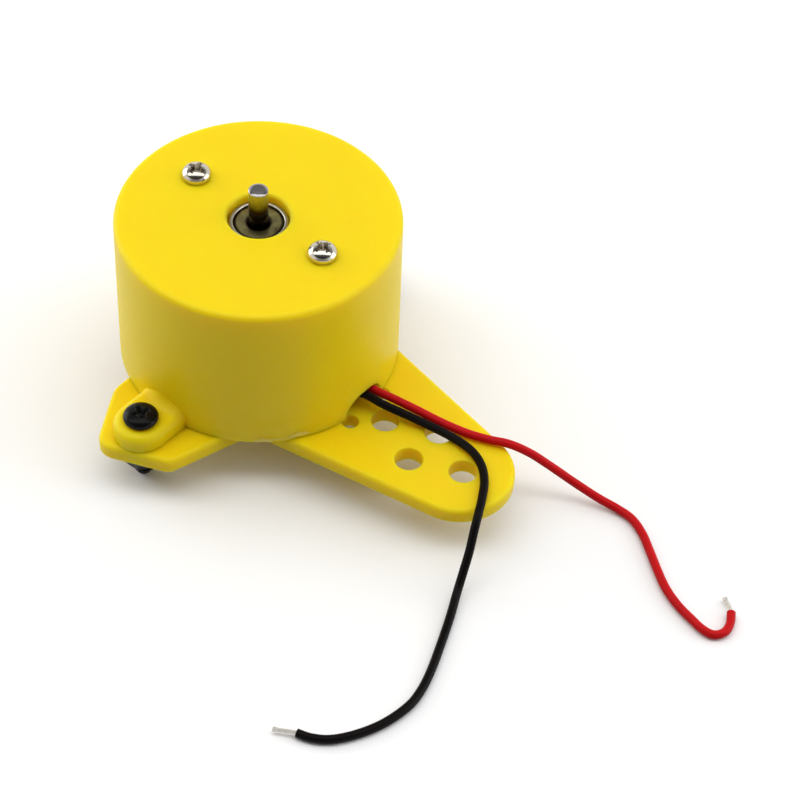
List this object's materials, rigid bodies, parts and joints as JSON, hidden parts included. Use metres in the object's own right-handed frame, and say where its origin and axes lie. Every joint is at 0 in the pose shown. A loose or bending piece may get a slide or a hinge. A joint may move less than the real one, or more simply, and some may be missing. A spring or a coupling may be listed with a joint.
{
  "type": "dc_motor_in_cup_mount",
  "caption": "Small yellow cup-mounted DC motor on a drilled base arm, with its plain shaft upright, black ear screws and loose red and black leads.",
  "frame": {"origin": "On the shaft's axis, level with the flat top face of the yellow cup that the motor's face is screwed to.", "axes": "+Z runs out along the shaft, away from the base plate; +X runs from the shaft's axis along the drilled arm; +Y completes a right-handed frame, towards the ear on the red lead's side."},
  "size_m": [0.0723, 0.0548, 0.0273],
  "materials": {
    "yellow_plastic": "moulded styrene, bright yellow, low gloss",
    "nickel_plate": "bright nickel plate",
    "black_steel": "black oxide, semi-gloss",
    "zinc_plated_steel": "drawn steel sheet, zinc plated",
    "sintered_bronze": "oil-soaked sintered bronze, dull olive",
    "bonded_ferrite": "bonded ferrite, dark grey",
    "ivory_plastic": "moulded, off-white",
    "copper": "bare copper alloy",
    "tinned_brass": "tinned",
    "solder": "bright solder",
    "red_pvc": "soft insulation, satin red",
    "black_pvc": "soft insulation, satin black",
    "ground_steel": "ground and polished",
    "silicon_steel": "stamped laminations",
    "green_insulation": "powder coating, green",
    "enamelled_copper": "enamelled wire, glossy",
    "brown_phenolic": "moulded, dark brown",
    "washer_plastic": "pressed fibre, dark"
  },
  "bodies": {
    "stator": {"housing_cup": "yellow_plastic", "base_arm_plate": "yellow_plastic", "face_screws": "nickel_plate", "ear_screws": "black_steel", "ear_nuts": "black_steel", "motor_can": "zinc_plated_steel", "front_bush": "sintered_bronze", "magnet_ring": "bonded_ferrite", "end_bell": "ivory_plastic", "rear_bush": "sintered_bronze", "brush_positive": "copper", "brush_negative": "copper", "terminal_positive": "tinned_brass", "terminal_negative": "tinned_brass", "solder_joints": "solder", "red_lead": "red_pvc", "black_lead": "black_pvc", "red_lead_tip": "solder", "black_lead_tip": "solder"},
    "rotor": {"shaft": "ground_steel", "armature_core": "silicon_steel", "core_insulators": "green_insulation", "coil_1": "enamelled_copper", "coil_2": "enamelled_copper", "coil_3": "enamelled_copper", "commutator_hub": "brown_phenolic", "commutator_segments": "copper", "quench_ring": "brown_phenolic", "front_washer": "washer_plastic", "rear_washer": "washer_plastic"}
  },
  "joints": [
    {"name": "rotor_spin", "type": "hinge", "parent": "stator", "child": "rotor", "pos_m": [0, 0, 0], "axis": [0, 0, 1], "continuous": true}
  ]
}
